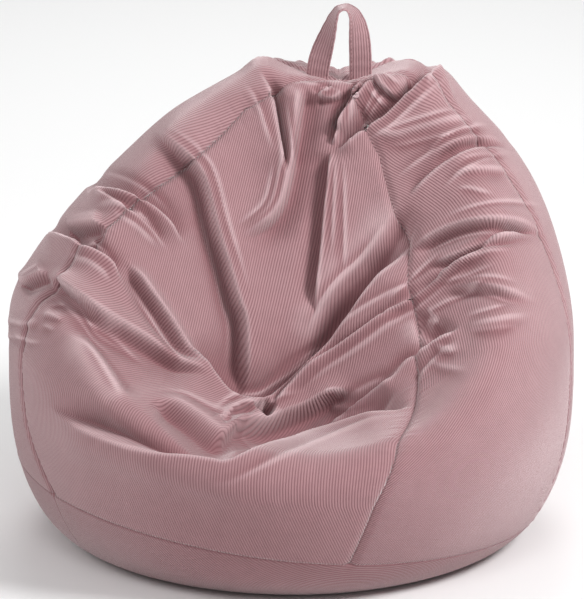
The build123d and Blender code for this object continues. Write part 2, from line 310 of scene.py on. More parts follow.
FOLDS = [
    # The backrest: where its middle laps over the left lobe, and the left lobe's free edge.
    fold([(-218, 619), (-184, 596), (-152, 567), (-135, 541), (-116, 464), (-97, 406), (-84, 355),
         (-70, 325), (-70, 240), (-65, 190)], rise=9, drop=13, near=34, far=26, over=4),
    fold([(-6, 546), (-14, 560), (-21, 598), (-26, 631), (-31, 664), (-37, 688), (-50, 716)], rise=8,
         drop=12, near=40, far=12, edge=4, over=4, ends=(0.25, 0.22)),
    # The light ridge under the handle, and the hollow on its right.
    fold([(-83, 452), (-61, 463), (-23, 493), (-6, 546), (2, 614), (13, 700)], rise=10, drop=9, near=20,
         far=22, edge=14, over=0, ends=(0.2, 0.1)),
    # The upright crease down the middle.
    fold([(64, 590), (61, 543), (56, 505), (51, 442), (43, 379), (38, 329)], rise=5, drop=11, near=40,
         far=18, edge=4, over=3, ends=(0.1, 0.2)),
    # Pleats below the handle.
    fold([(111, 713), (89, 663), (72, 622)], rise=8, drop=9, near=9, far=9, edge=4),
    fold([(135, 719), (103, 673), (81, 640), (65, 596)], rise=8, drop=8, near=9, far=9, edge=4),
    fold([(66, 700), (48, 690), (42, 684)], rise=5, drop=5, near=7, far=8, edge=4, over=1),
    fold([(42, 683), (67, 677), (80, 693)], rise=4, drop=5, near=8, far=8, edge=4, over=1),
    # The right lobe's free edge.
    fold([(231, 710), (207, 691), (187, 674), (165, 653), (147, 636), (125, 625), (103, 609), (84, 593),
         (67, 590)], rise=9, drop=15, near=26, far=16, edge=4, over=4, ends=(0.05, 0.15)),
    fold([(129, 720), (147, 693), (163, 680), (171, 676)], rise=5, drop=5, near=10, far=8),
    hollow([(190, 707), (179, 677)], width=9),
    # The V-shaped rim of the seat.
    fold([(176, 434), (151, 404), (100, 329), (50, 267), (9, 228), (-13, 209), (-32, 193), (-45, 187),
         (-65, 184), (-100, 184), (-117, 201), (-135, 228), (-176, 291)], rise=13, drop=13, near=36, far=34,
         edge=6, over=5, ends=(0.12, 0.12)),
    # The small pocket where the folds meet.
    hollow([(-66, 176), (-50, 158), (-36, 177)], drop=20, width=9, ends=(0.1, 0.1)),
    fold([(-124, 155), (-111, 165), (-92, 171), (-72, 171)], rise=5, drop=5, near=8, far=8),
    # The ridge below the pocket.
    fold([(-231, 192), (-198, 195), (-169, 174), (-144, 155), (-128, 144), (-114, 136), (-105, 141),
         (-92, 152), (-45, 153), (-26, 158), (-1, 169), (32, 184), (61, 204), (103, 218)], rise=9, drop=11,
         near=13, far=16, edge=6, over=3),
    # The crease from the pocket to the right arm.
    fold([(393, 458), (349, 458), (313, 447), (250, 398), (198, 357), (163, 337), (100, 286), (39, 247),
         (-24, 185), (-45, 158)], far=7, edge=3, over=3, ends=(0.1, 0.1)),
    # The front lip.
    fold([(193, 186), (165, 172), (110, 152), (61, 133), (32, 124), (-2, 112), (-32, 107), (-80, 93),
         (-106, 87), (-125, 93), (-158, 100), (-218, 110), (-278, 130), (-340, 155), (-384, 188)], rise=10,
         drop=13, near=34, far=26, edge=6, over=3, ends=(0.12, 0.15)),
    fold([(165, 228), (122, 201), (50, 155)], rise=5, near=9, far=9),
    ridge([(54, 192), (98, 185)], rise=3, width=7),
    # The left arm, from its top down.
    fold([(-173, 444), (-195, 477), (-226, 503), (-261, 517), (-293, 523), (-321, 516)], rise=7, drop=9,
         near=12, far=18, edge=6),
    fold([(-201, 439), (-217, 455), (-239, 479), (-261, 493), (-283, 507), (-305, 515)], rise=5, drop=4,
         near=9, far=8, over=1),
    fold([(-355, 469), (-318, 469), (-294, 470)], drop=9, far=13),
    fold([(-272, 389), (-288, 408), (-310, 424), (-324, 428), (-335, 439), (-360, 448), (-387, 453)],
         rise=8, drop=10, near=16, far=13, edge=6),
    fold([(-425, 378), (-393, 390), (-381, 396)], drop=8, far=13),
    fold([(-376, 393), (-349, 371), (-316, 346), (-283, 324), (-239, 297), (-195, 267), (-144, 225)],
         rise=8, drop=10, near=15, far=26, ends=(0.1, 0.15)),
    fold([(-261, 412), (-239, 389), (-217, 357), (-195, 326), (-173, 289), (-144, 245)], rise=7, drop=9,
         near=9, far=15, over=1),
    ridge([(-447, 322), (-431, 318), (-415, 313), (-393, 319)], rise=3, width=7),
    ridge([(-387, 330), (-359, 322)], rise=3, width=6),
    hollow([(-359, 322), (-316, 308), (-294, 289), (-250, 223), (-239, 196)], drop=7, width=24),
    # The right arm, from its shoulder down.
    ridge([(128, 622), (162, 612), (196, 625), (256, 639), (288, 638)], rise=3, width=13),
    fold([(214, 570), (245, 598), (275, 608), (305, 609), (343, 595)], rise=3, drop=4, near=13, far=13,
         edge=7, over=0, ends=(0.3, 0.3)),
    fold([(349, 582), (311, 594), (281, 589), (242, 567), (207, 537), (184, 512)], rise=3.5, drop=5,
         near=12, edge=6, over=1, ends=(0.35, 0.2)),
    fold([(245, 543), (275, 556), (305, 557), (349, 552)], rise=2.5, drop=2.5, near=12, far=12, edge=6,
         over=0, ends=(0.35, 0.35)),
    hollow([(195, 511), (139, 417), (76, 354), (29, 243)], drop=13, width=24),
    fold([(185, 434), (243, 464), (284, 475), (318, 478), (352, 474), (381, 463), (404, 458)], drop=9,
         near=17, far=13, ends=(0.15, 0.25)),
    fold([(212, 408), (254, 420), (299, 441), (322, 449), (381, 455)], rise=5, drop=9, near=9, far=7,
         edge=4, over=3, ends=(0.2, 0.3)),
    fold([(139, 321), (184, 352), (203, 365), (236, 389), (313, 437)], rise=5, drop=7, near=12, far=16,
         edge=4, over=3, ends=(0.2, 0.25)),
    fold([(234, 367), (254, 373), (286, 378), (308, 376), (332, 371), (388, 351)], rise=4, near=12, far=12,
         edge=6, over=1, ends=(0.25, 0.35)),
    hollow([(198, 343), (212, 294), (250, 322)], drop=6, width=15, ends=(0.3, 0.3)),
    fold([(270, 310), (225, 283), (199, 266), (177, 247), (166, 229), (139, 207)], rise=4, near=12, far=12,
         ends=(0.2, 0.2)),
    ridge([(270, 315), (308, 319), (352, 329), (381, 330)], rise=2, width=11, ends=(0.35, 0.4)),
    ridge([(212, 267), (261, 275), (270, 283)], rise=1.6, width=8, ends=(0.4, 0.4)),
    ridge([(212, 262), (240, 247), (284, 244)], rise=1.6, width=9, ends=(0.4, 0.4)),
]


# Faint wrinkles beside each fold: how far aside, in millimetres, with a share of it for each end, and
# the ranges of rise, drop, near and far.
WRINKLES_A_FOLD = 2
WRINKLE_OFFSET = (11, 30)
WRINKLE_FANS = ((0.3, 1.0), (0.8, 1.5))
WRINKLE_SIZES = ((0.4, 1.1), (0.2, 0.9), (4, 8), (5, 9))


def faint_wrinkles():
    """Small wrinkles beside the main folds, each following a stretch of its neighbour."""
    made = []
    for spec in FOLDS:
        line = rounded(spec["points"])
        for _ in range(WRINKLES_A_FOLD):
            count = len(line)
            start = rng.integers(0, max(count // 3, 1))
            stretch = line[start:start + max(count * 2 // 3, 3)]
            heading = np.gradient(stretch, axis=0)
            heading /= size_of(heading)[:, None] + 1e-9
            aside = np.stack([heading[:, 1], -heading[:, 0]], -1)
            offset = rng.choice([-1, 1]) * rng.uniform(*WRINKLE_OFFSET) * MM
            fan = np.linspace(*[rng.uniform(*ends) for ends in WRINKLE_FANS], len(stretch))
            sizes = [rng.uniform(*limits) for limits in WRINKLE_SIZES]
            wrinkle = fold((), *sizes, edge=4, over=0, ends=(0.35, 0.35))
            made.append(dict(wrinkle, points=stretch + aside * (offset * fan)[:, None]))
    return made


# Broad swellings of the stuffed cover: right, up, radius and height, in millimetres.
SWELLS = [
    (-50, 734, 26, 11), (-150, 600, 75, 12), (225, 702, 42, 12), (-330, 420, 60, 8),
    (-290, 500, 50, 7), (-395, 345, 45, 8), (300, 520, 120, 8), (30, 90, 160, 6),
]
# The cover dips where it is gathered round the strap's feet, and fades out between two heights. A
# distance behind the apex counts for less than one in front of it, so the dip reaches further back.
PEAK_DIP = 27 * MM
PEAK_DIP_REACH = 88 * MM
PEAK_DIP_BACK = 0.45
PEAK_DIP_FRONT = 1.7
PEAK_DIP_HEIGHTS = (0.45, 0.60)
# Painted shade: the pile is darkened low on the bag, where it lies away from the light, fading out upwards.
LOW_PAINTED_SHADE = -0.46
LOW_PAINTED_SHADE_HEIGHTS = (0.10, 0.42)
# How strongly the folds' crests get painted highlight and their hollows painted shade.
CREST_PAINTED_HIGHLIGHT = 0.80
HOLLOW_PAINTED_SHADE = 0.75
# How far a face turns to the front view where its front folds start, and where they are whole.
FACING = (-0.30, 0.10)


def smooth(value, low, high):
    """0 below low and 1 above high, with a smooth step between them."""
    share = np.clip((value - low) / (high - low), 0, 1)
    return share * share * (3 - 2 * share)


def apply_fold(spec, seen, lift, push, painted_light):
    """Adds one fold to the height, the sideways push and the painted highlight and shade of points seen from
    the front.
    """
    line = spec["points"]
    margin = FOLD_REACH * max(spec["near"], spec["far"]) + spec["edge"]
    low = line.min(0) - margin
    high = line.max(0) + margin
    near_by = np.all((seen > low) & (seen < high), axis=1)
    if not near_by.any():
        return
    points = seen[near_by]
    best = np.full(len(points), np.inf)
    signed = np.zeros(len(points))
    along = np.zeros(len(points))
    toward = np.zeros((len(points), 2))
    starts = lengths_along(line)
    for i, length in enumerate(np.diff(starts)):
        direction = (line[i + 1] - line[i]) / length
        right = np.array([direction[1], -direction[0]])
        offset = points - line[i]
        at = np.clip(offset @ direction, 0, length)
        gap = offset - at[:, None] * direction
        distance = size_of(gap)
        closer = distance < best
        best[closer] = distance[closer]
        side = np.where(offset @ right >= 0, 1.0, -1.0)
        signed[closer] = (side * distance)[closer]
        along[closer] = (starts[i] + at)[closer]
        toward[closer] = right
    share = along / starts[-1]
    first, last = spec["ends"]
    strength = smooth(share, 0, first) * smooth(1 - share, 0, last)
    crest = np.exp(-(np.minimum(signed, 0) / spec["near"]) ** 2)
    fall = 1 - smooth(signed, 0, spec["edge"])
    beyond = np.maximum(signed - spec["edge"], 0)
    dip = (1 - fall) * np.exp(-(beyond / spec["far"]) ** 2)
    lift[near_by] += strength * (spec["rise"] * crest * fall - spec["drop"] * dip)
    # Painted highlight along the crest, where the pile catches the light, and painted shade in the hollow.
    painted_highlight = np.exp(-(np.minimum(signed + PAINTED_HIGHLIGHT_PLACE, 0) / PAINTED_HIGHLIGHT_WIDTH) ** 2) * fall
    painted_light[near_by] += strength * np.sign(spec["rise"]) * (painted_highlight * CREST_PAINTED_HIGHLIGHT - dip * HOLLOW_PAINTED_SHADE)
    lap = strength * spec["over"] * np.exp(-(signed / (LAP_SHARE * spec["edge"] + LAP_WIDTH)) ** 2)
    push[near_by] += lap[:, None] * toward


def rounded(points):
    """A fold's line with its corners cut, so that it runs smoothly."""
    for _ in range(2):
        quarter = points[:-1] * 0.75 + points[1:] * 0.25
        three = points[:-1] * 0.25 + points[1:] * 0.75
        middle = np.stack([quarter, three], 1).reshape(-1, 2)
        points = np.vstack([points[:1], middle, points[-1:]])
    return points


# The rear folds' flat map of the bag: metres a radian round it, and metres from base seam to apex.
REAR_ROUND = 0.42
REAR_CLIMB = 0.90
# How much of the rear folds' painted highlight and painted shade is kept.
REAR_PAINTED_LIGHT = 0.4
# They fade out within these degrees of the zip.
ZIP_CALM = 7
# Pleats: their rise in millimetres, their ends as shares of the climb, and their sway in degrees.
PLEAT_BEARINGS = range(62, 300, 17)
PLEAT_RISE = (3.5, 6)
PLEAT_TOP = (0.90, 0.97)
PLEAT_FOOT = (0.60, 0.80)
PLEAT_SWAY = (-7, 7)
# Slack lying across, in the same units.
SLACK_BEARINGS = range(58, 300, 15)
SLACK_LEVELS = (0.22, 0.46)
SLACK_START = (-9, 9)
SLACK_HEIGHT = (-0.10, 0.10)
SLACK_WIDTH = (16, 34)
SLACK_DIP = (-0.04, 0.01)
SLACK_SLOPE = (-0.06, 0.06)
SLACK_RISE = (0.9, 2.2)
REAR_NEAR = (12, 26)
REAR_FAR = (12, 22)


def unfolded(count):
    """The height, the sideways push and the painted highlight and shade of points before any fold."""
    return np.zeros(count), np.zeros((count, 2)), np.zeros(count)


def rear_folds(grid):
    """The sides' and the back's folds: pleats that run down from the peak, and slack lying across."""
    bearing = np.unwrap(np.arctan2(grid[:, BASE_ROWS, 0], -grid[:, BASE_ROWS, 1]))
    row = (np.arange(grid.shape[1]) - BASE_ROWS) / ROWS
    places = np.stack(np.meshgrid(bearing * REAR_ROUND, row * REAR_CLIMB, indexing="ij"), -1)
    places = places.reshape(-1, 2)
    lift, push, painted_light = unfolded(len(places))
    from_zip = np.degrees(places[:, 0] / REAR_ROUND) - 180
    calm = 1 - np.exp(-(from_zip / ZIP_CALM) ** 2)
    lines = []
    for turn in PLEAT_BEARINGS:
        top = rng.uniform(*PLEAT_TOP)
        foot = rng.uniform(*PLEAT_FOOT)
        sway = rng.uniform(*PLEAT_SWAY)
        bend = [(turn + sway * t, top + (foot - top) * t) for t in (0, 0.4, 0.7, 1)]
        lines.append((rng.uniform(*PLEAT_RISE), bend))
    for turn in SLACK_BEARINGS:
        for level in SLACK_LEVELS:
            start = turn + rng.uniform(*SLACK_START)
            height = level + rng.uniform(*SLACK_HEIGHT)
            width = rng.uniform(*SLACK_WIDTH) * rng.choice([-1, 1])
            dip = rng.uniform(*SLACK_DIP)
            slope = rng.uniform(*SLACK_SLOPE)
            bend = [(start + width * t, height + slope * t + dip * math.sin(math.pi * t))
                    for t in (0, 0.3, 0.65, 1)]
            lines.append((rng.uniform(*SLACK_RISE), bend))
    for rise, bend in lines:
        spec = fold((), rise, rise * 0.8, rng.uniform(*REAR_NEAR), rng.uniform(*REAR_FAR),
                    edge=9, over=0, ends=(0.4, 0.4))
        line = [(math.radians(turn) * REAR_ROUND, share * REAR_CLIMB) for turn, share in bend]
        apply_fold(dict(spec, points=rounded(np.array(line))), places, lift, push, painted_light)
    return lift * calm, painted_light * calm * REAR_PAINTED_LIGHT


def folded(grid):
    """The grid with all its folds pressed into it, and the painted light and shade on the pile at each point.
    """
    flat = grid.reshape(-1, 3)
    seen = on_front_plane(flat)
    normal = normals_of(grid).reshape(-1, 3)
    facing = smooth(normal @ view_back, *FACING)
    lift, push, painted_light = unfolded(len(flat))
    for spec in FOLDS:
        apply_fold(dict(spec, points=rounded(spec["points"])), seen, lift, push, painted_light)
    for spec in faint_wrinkles():
        apply_fold(spec, seen, lift, push, painted_light)
    for across, up, radius, height in SWELLS:
        gap = np.hypot(seen[:, 0] - across * MM, seen[:, 1] - up * MM)
        lift += height * MM * np.exp(-(gap / (radius * MM)) ** 2)
    moved = flat + normal * (lift * facing)[:, None]
    behind, behind_painted_light = rear_folds(grid)
    moved += normal * (behind * (1 - facing))[:, None]
    painted_light = painted_light * facing + behind_painted_light * (1 - facing)
    sideways = push[:, :1] * view_right + push[:, 1:] * view_up
    moved += sideways * facing[:, None]
    behind_peak = flat[:, 1] - APEX[1]
    behind_peak = behind_peak * np.where(behind_peak > 0, PEAK_DIP_BACK, PEAK_DIP_FRONT)
    from_peak = np.hypot(flat[:, 0] - APEX[0], behind_peak)
    dip = PEAK_DIP * np.exp(-(from_peak / PEAK_DIP_REACH) ** 2)
    moved[:, 2] -= dip * smooth(flat[:, 2], *PEAK_DIP_HEIGHTS)
    painted_light += LOW_PAINTED_SHADE * (1 - smooth(flat[:, 2], *LOW_PAINTED_SHADE_HEIGHTS))
    return moved.reshape(grid.shape), painted_light.reshape(grid.shape[:2])


# ---- Seams ----

SEAM_DEPTH = 4.5 * MM
SEAM_WIDTH = 7 * MM
PUCKER_DEPTH = 1.2 * MM
PUCKER_REACH = 22 * MM
PUCKER_LENGTHS = (9.5, 14, 23)
PUCKER_DRIFT = 0.02
TURN = 6.28


def seam_columns():
    """The first column of each gore, which is the seam it shares with the one before."""
    counts = [count for _, _, count in GORES.values()]
    return dict(zip(GORES, np.cumsum([0, *counts]).tolist()))


def seam_distance(upper):
    """For each point of the gores, how far along its row the nearest seam is."""
    steps = size_of(np.roll(upper, -1, 0) - upper)
    starts = [*seam_columns().values(), len(upper)]
    gores = []
    for start, end in zip(starts, starts[1:]):
        run = np.cumsum(np.vstack([np.zeros(upper.shape[1]), steps[start:end]]), axis=0)
        gores.append(np.minimum(run[:-1], run[-1] - run[:-1]))
    return np.concatenate(gores)


def with_seams(upper, normal):
    """The gores with a groove along each seam and the cloth puckered beside it."""
    distance = seam_distance(upper)
    groove = np.exp(-(distance / SEAM_WIDTH) ** 2)
    climb = lengths_along(upper[0])
    waves = np.zeros(upper.shape[:2])
    for length in PUCKER_LENGTHS:
        first_phase = rng.uniform(0, TURN, len(upper))[0]
        phase = np.cumsum(rng.normal(0, PUCKER_DRIFT, len(upper))) + first_phase
        waves += np.sin(climb[None, :] / (length * MM) * TURN + phase[:, None])
    pucker = waves / len(PUCKER_LENGTHS) * np.exp(-(distance / PUCKER_REACH) ** 2) * (1 - groove)
    return upper - normal * (SEAM_DEPTH * groove - PUCKER_DEPTH * pucker)[..., None]


# ---- Meshes ----

def mesh_object(name, points, faces, material, uvs=None):
    """A smooth-shaded mesh object, with a cloth UV map if uvs gives one pair for each vertex."""
    mesh = bpy.data.meshes.new(name)
    mesh.from_pydata([tuple(p) for p in points], [], [tuple(f) for f in faces])
    mesh.polygons.foreach_set("use_smooth", [True] * len(mesh.polygons))
    mesh.materials.append(material)
    if uvs is not None:
        layer = mesh.uv_layers.new(name="cloth")
        corners = np.empty(len(mesh.loops), np.int32)
        mesh.loops.foreach_get("vertex_index", corners)
        layer.data.foreach_set("uv", uvs.reshape(-1, 2).astype(np.float32)[corners].ravel())
    return placed(name, mesh)


def grid_faces(columns, rows):
    """Faces between a sheet's columns and rows of vertices."""
    index = np.arange(columns * rows).reshape(columns, rows)
    quads = np.stack([index[:-1, :-1], index[1:, :-1], index[1:, 1:], index[:-1, 1:]], -1)
    return quads.reshape(-1, 4)


def sheet(name, grid, thickness, material, uvs=None):
    """A grid of columns by rows of points as a piece with its thickness on its inner side."""
    piece = mesh_object(name, grid.reshape(-1, 3), grid_faces(*grid.shape[:2]), material, uvs)
    solid = piece.modifiers.new("thickness", "SOLIDIFY")
    solid.thickness = thickness
    solid.offset = -1
    return piece


def tube_faces(rings, around):
    """Faces of a tube with closed ends, made of rings of vertices."""
    index = np.arange(rings * around).reshape(rings, around)
    after = np.roll(index, -1, 1)
    quads = np.stack([index[:-1], after[:-1], after[1:], index[1:]], -1).reshape(-1, 4).tolist()
    return quads + [index[0][::-1].tolist(), index[-1].tolist()]


# ---- Materials ----

class Nodes:
    """A shorthand for building a material's nodes."""

    def __init__(self, name):
        self.material = bpy.data.materials.new(name)
        self.material.use_nodes = True
        self.tree = self.material.node_tree
        self.shader = self.tree.nodes["Principled BSDF"]

    def add(self, kind, *inputs, **settings):
        node = self.tree.nodes.new(kind)
        for key, value in settings.items():
            setattr(node, key, value)
        for i, value in enumerate(inputs):
            self.put(value, node.inputs[i])
        return node

    def new(self, kind, **sockets):
        node = self.tree.nodes.new(kind)
        for name, value in sockets.items():
            self.put(value, node.inputs[name])
        return node

    def put(self, value, socket):
        if isinstance(value, bpy.types.NodeSocket):
            self.tree.links.new(value, socket)
        elif isinstance(value, bpy.types.Node):
            self.tree.links.new(value.outputs[0], socket)
        else:
            socket.default_value = value

    def math(self, operation, *inputs):
        return self.add("ShaderNodeMath", *inputs, operation=operation).outputs[0]

    def times(self, first, second):
        return self.math("MULTIPLY", first, second)

    def plus(self, first, second):
        return self.math("ADD", first, second)

    def minus(self, first, second):
        return self.math("SUBTRACT", first, second)

    def noise(self, vector, scale, detail=2.0, rough=0.5):
        node = self.new("ShaderNodeTexNoise", Vector=vector, Scale=scale, Detail=detail, Roughness=rough)
        return node.outputs["Fac"]

    def mix(self, share, first, second):
        node = self.tree.nodes.new("ShaderNodeMix")
        node.data_type = "RGBA"
        self.put(share, node.inputs["Factor"])
        self.put(first, node.inputs["A"])
        self.put(second, node.inputs["B"])
        return node.outputs["Result"]

    def place(self):
        """Where a point is on its object, in metres."""
        return self.add("ShaderNodeTexCoord").outputs["Object"]

    def dimmed(self, colour, share):
        node = self.add("ShaderNodeVectorMath", colour, operation="SCALE")
        self.put(share, node.inputs["Scale"])
        return node

    def bump(self, height, strength, distance):
        """Lets a height field shape the shader's normals."""
        node = self.new("ShaderNodeBump", Strength=strength, Distance=distance, Height=height)
        self.look({"Normal": node})

    def look(self, values):
        """Sets or links inputs of the shader."""
        for name, value in values.items():
            self.put(value, self.shader.inputs[name])


WALE_PITCH = 4.4 * MM
WALE_WANDER = 0.5 * MM
WALE_HEIGHT = 0.9 * MM
WALE_FULLNESS = 0.55
# How much darker the grooves between the ribs are painted, as shade.
GROOVE_SHADE_SHARE = 0.68
TUFT_SHARE = 0.30
MOTTLE_SHARE = 0.16
PILE_BRIGHTNESS = 0.77
# How far the pile's colour goes towards a painted shade colour and a painted highlight colour.
PAINTED_SHADE_SHARE = -0.62
PAINTED_HIGHLIGHT_SHARE = 0.60
RIB_COLOUR = (0.390, 0.212, 0.228, 1)
RIB_LIGHT = (0.515, 0.325, 0.342, 1)
GROOVE_SHADE_COLOUR = (0.135, 0.050, 0.058, 1)
PAINTED_SHADE_COLOUR = (0.200, 0.072, 0.082, 1)
PAINTED_HIGHLIGHT_COLOUR = (0.700, 0.520, 0.540, 1)


def corduroy():
    """Cut-pile ribs along the cloth, with the pile's uneven nap and its soft sheen."""
    n = Nodes("corduroy")
    place = n.place()
    across, along, _ = n.add("ShaderNodeSeparateXYZ", n.add("ShaderNodeUVMap", uv_map="cloth")).outputs
    wander = n.times(n.minus(n.noise(place, 60), 0.5), WALE_WANDER)
    ribs = n.times(n.plus(across, wander), 2 * math.pi / WALE_PITCH)
    wave = n.plus(n.times(n.math("COSINE", ribs), 0.5), 0.5)
    wale = n.math("POWER", wave, WALE_FULLNESS)
    stretched = n.add("ShaderNodeCombineXYZ", n.times(across, 3.0), along, 0.0)
    tufts = n.noise(stretched, 900, 2, 0.6)
    nap = n.noise(place, 9, 4, 0.6)
    mottle = n.noise(place, 42, 3, 0.6)
    lit = n.mix(n.times(nap, 0.75), RIB_COLOUR, RIB_LIGHT)
    # Painted shade in the grooves between the ribs.
    shade = n.minus(1.0, n.times(n.minus(1.0, wale), GROOVE_SHADE_SHARE))
    ribbed = n.mix(shade, GROOVE_SHADE_COLOUR, lit)
    speckle = n.plus(n.times(tufts, TUFT_SHARE), n.times(mottle, MOTTLE_SHARE))
    # Painted highlight and painted shade from the vertices' painted light, mixed into the pile's colour.
    painted_light = n.add("ShaderNodeAttribute", attribute_name="painted_light").outputs["Fac"]
    painted_shade = n.math("MAXIMUM", n.times(painted_light, PAINTED_SHADE_SHARE), 0.0)
    painted_highlight = n.math("MAXIMUM", n.times(painted_light, PAINTED_HIGHLIGHT_SHARE), 0.0)
    with_painted_light = n.mix(painted_highlight, n.mix(painted_shade, ribbed, PAINTED_SHADE_COLOUR), PAINTED_HIGHLIGHT_COLOUR)
    n.bump(n.plus(wale, n.times(tufts, 0.22)), 0.8, WALE_HEIGHT)
    n.look({
        "Base Color": n.dimmed(with_painted_light, n.plus(speckle, PILE_BRIGHTNESS)),
        "Roughness": n.plus(n.times(mottle, 0.12), 0.80),
        "Specular IOR Level": 0.15,
        "Sheen Weight": 0.65,
        "Sheen Roughness": 0.45,
        "Sheen Tint": (1.0, 0.92, 0.93, 1),
    })
    return n.material


# ---- The cover ----

SLOT_FOOT = 0.104
SLOT_HEAD = 0.581
SLOT_HALF_WIDTH = 6.5 * MM
SLOT_END = 8 * MM
SLOT_EASE = 16 * MM
SEAM_LEAN = math.atan2(APEX[0], APEX[2])
across_seam = np.array([math.cos(SEAM_LEAN), 0, -math.sin(SEAM_LEAN)])
up_seam = np.array([math.sin(SEAM_LEAN), 0, math.cos(SEAM_LEAN)])
ZIP_SIDES = {"panel_rear_right": 1, "panel_rear_left": -1}


def with_slot(points, side):
    """A rear panel with its seam edge drawn aside where the zip is."""
    edge = points[-1] if side > 0 else points[0]
    height = edge[:, 2]
    open_here = smooth(height, SLOT_FOOT, SLOT_FOOT + SLOT_END)
    open_here *= 1 - smooth(height, SLOT_HEAD - SLOT_END, SLOT_HEAD)
    gap = size_of(points - edge)
    shift = SLOT_HALF_WIDTH * open_here * np.exp(-(gap / SLOT_EASE) ** 2)
    return points + side * shift[..., None] * across_seam


def set_painted_light(piece, values):
    """The painted light on each vertex: above zero where a highlight is painted, below where shade is
    painted.
    """
    layer = piece.data.attributes.new("painted_light", "FLOAT", "POINT")
    layer.data.foreach_set("value", np.clip(values, -1, 1).astype(np.float32).ravel())


# The base panel's ribs run at this bearing, and it is painted this much darker, as shade under the bag.
BASE_GRAIN = math.radians(155)
BASE_PAINTED_SHADE = -0.34


def make_cover():
    """Makes the cover's panels, the patch and what is inside. Returns the gores' points."""
    whole = lay_out()
    count = len(whole)
    shaped, painted_light = folded(whole)
    shaped = softened(shaped, 1)
    make_inside(shaped)
    make_patch(shaped)
    plain = whole[:, BASE_ROWS - 1:]
    upper = shaped[:, BASE_ROWS - 1:]
    lower = shaped[:, :BASE_ROWS]
    upper = with_seams(upper, normals_of(upper))
    lower[:, -1] = upper[:, 0]
    starts = seam_columns()
    rows = np.arange(ROWS)
    made = {}
    for name, (_, _, columns) in GORES.items():
        chosen = [(starts[name] + i) % count for i in range(columns + 1)]
        points = upper[chosen]
        if name in ZIP_SIDES:
            points = with_slot(points, ZIP_SIDES[name])
        flat = plain[chosen]
        steps = size_of(np.diff(flat, axis=0))
        across = np.vstack([np.zeros(ROWS), np.cumsum(steps, axis=0)])
        grain = np.interp(np.linspace(0, 1, ROWS), SEAM_SHARES, GRAIN.get(name, MIDDLE_GRAIN)) * (columns - 1)
        column = grain.astype(int)
        part = grain - column
        across = across - across[column, rows] * (1 - part) - across[column + 1, rows] * part
        along = np.broadcast_to(lengths_along(flat[columns // 2]), across.shape)
        uvs = np.stack([across, along], -1)
        made[name] = sheet(name + "_cloth", points, CLOTH_THICKNESS, CORDUROY, uvs)
        set_painted_light(made[name], painted_light[chosen][:, BASE_ROWS - 1:])
        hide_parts(name)
    ring = np.vstack([lower, lower[:1]])
    bearing = np.arctan2(ring[:, -1, 0], -ring[:, -1, 1])
    radius = np.cumsum(size_of(np.diff(ring, axis=1, prepend=ring[:, :1])), axis=1)
    turned = (bearing + BASE_GRAIN)[:, None]
    uvs = np.stack([-radius * np.cos(turned), radius * np.sin(turned)], -1)
    made["base_panel"] = sheet("base_panel_cloth", ring, CLOTH_THICKNESS, CORDUROY, uvs)
    set_painted_light(made["base_panel"], np.vstack([painted_light, painted_light[:1]])[:, :BASE_ROWS] + BASE_PAINTED_SHADE)
    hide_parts("base_panel")
    for piece in made.values():
        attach(piece, "bag")
    return upper


# ---- What the cover holds ----
# How far inside the cover the liner and the filling are, and how much further in near the top,
# between these shares of the way up.
LINER_GAP = 24 * MM
FILL_GAP = 28 * MM
TOP_GAP = 26 * MM
TOP_SHARES = (0.45, 0.7)
LINER_LOWEST = 3 * MM
LINER_THICKNESS = 0.8 * MM
LINER_BASE_ROWS = 24
# The inside keeps every third column and row of the cover's vertices.
THINNING = 3
INSIDE_SOFTENING = 6
BEADS_A_METRE = 220


def plain_cloth(name, colour, weave=1500):
    """A plain woven cloth; weave is how many times its grain repeats in a metre."""
    n = Nodes(name)
    grain = n.noise(n.place(), weave, 2, 0.6)
    patches = n.noise(n.place(), 18, 3, 0.5)
    shade = n.plus(n.times(grain, 0.25), n.times(patches, 0.12))
    n.look({"Base Color": n.dimmed(colour, n.plus(shade, 0.80)), "Roughness": 0.9})
    n.bump(grain, 0.4, 0.3 * MM)
    return n.material


def bead_foam():
    """White foam beads, packed."""
    n = Nodes("foam_beads")
    cells = n.new("ShaderNodeTexVoronoi", Vector=n.place(), Scale=BEADS_A_METRE)
    distance = cells.outputs["Distance"]
    # Painted shade, darker towards each bead's edge, where it meets its neighbours.
    shade = n.minus(1.0, n.times(distance, 0.35))
    n.look({"Base Color": n.dimmed((0.9, 0.9, 0.88), shade), "Roughness": 0.7})
    n.bump(n.minus(1.0, distance), 1.0, 1.5 * MM)
    return n.material


def closed_faces(columns, rows):
    """Faces of a grid that closes on itself round the bag; its first and last rows are single points."""
    index = np.arange(columns * rows).reshape(columns, rows)
    after = np.roll(index, -1, 0)
    quads = np.stack([index[:, :-1], after[:, :-1], after[:, 1:], index[:, 1:]], -1)
    return quads.reshape(-1, 4)


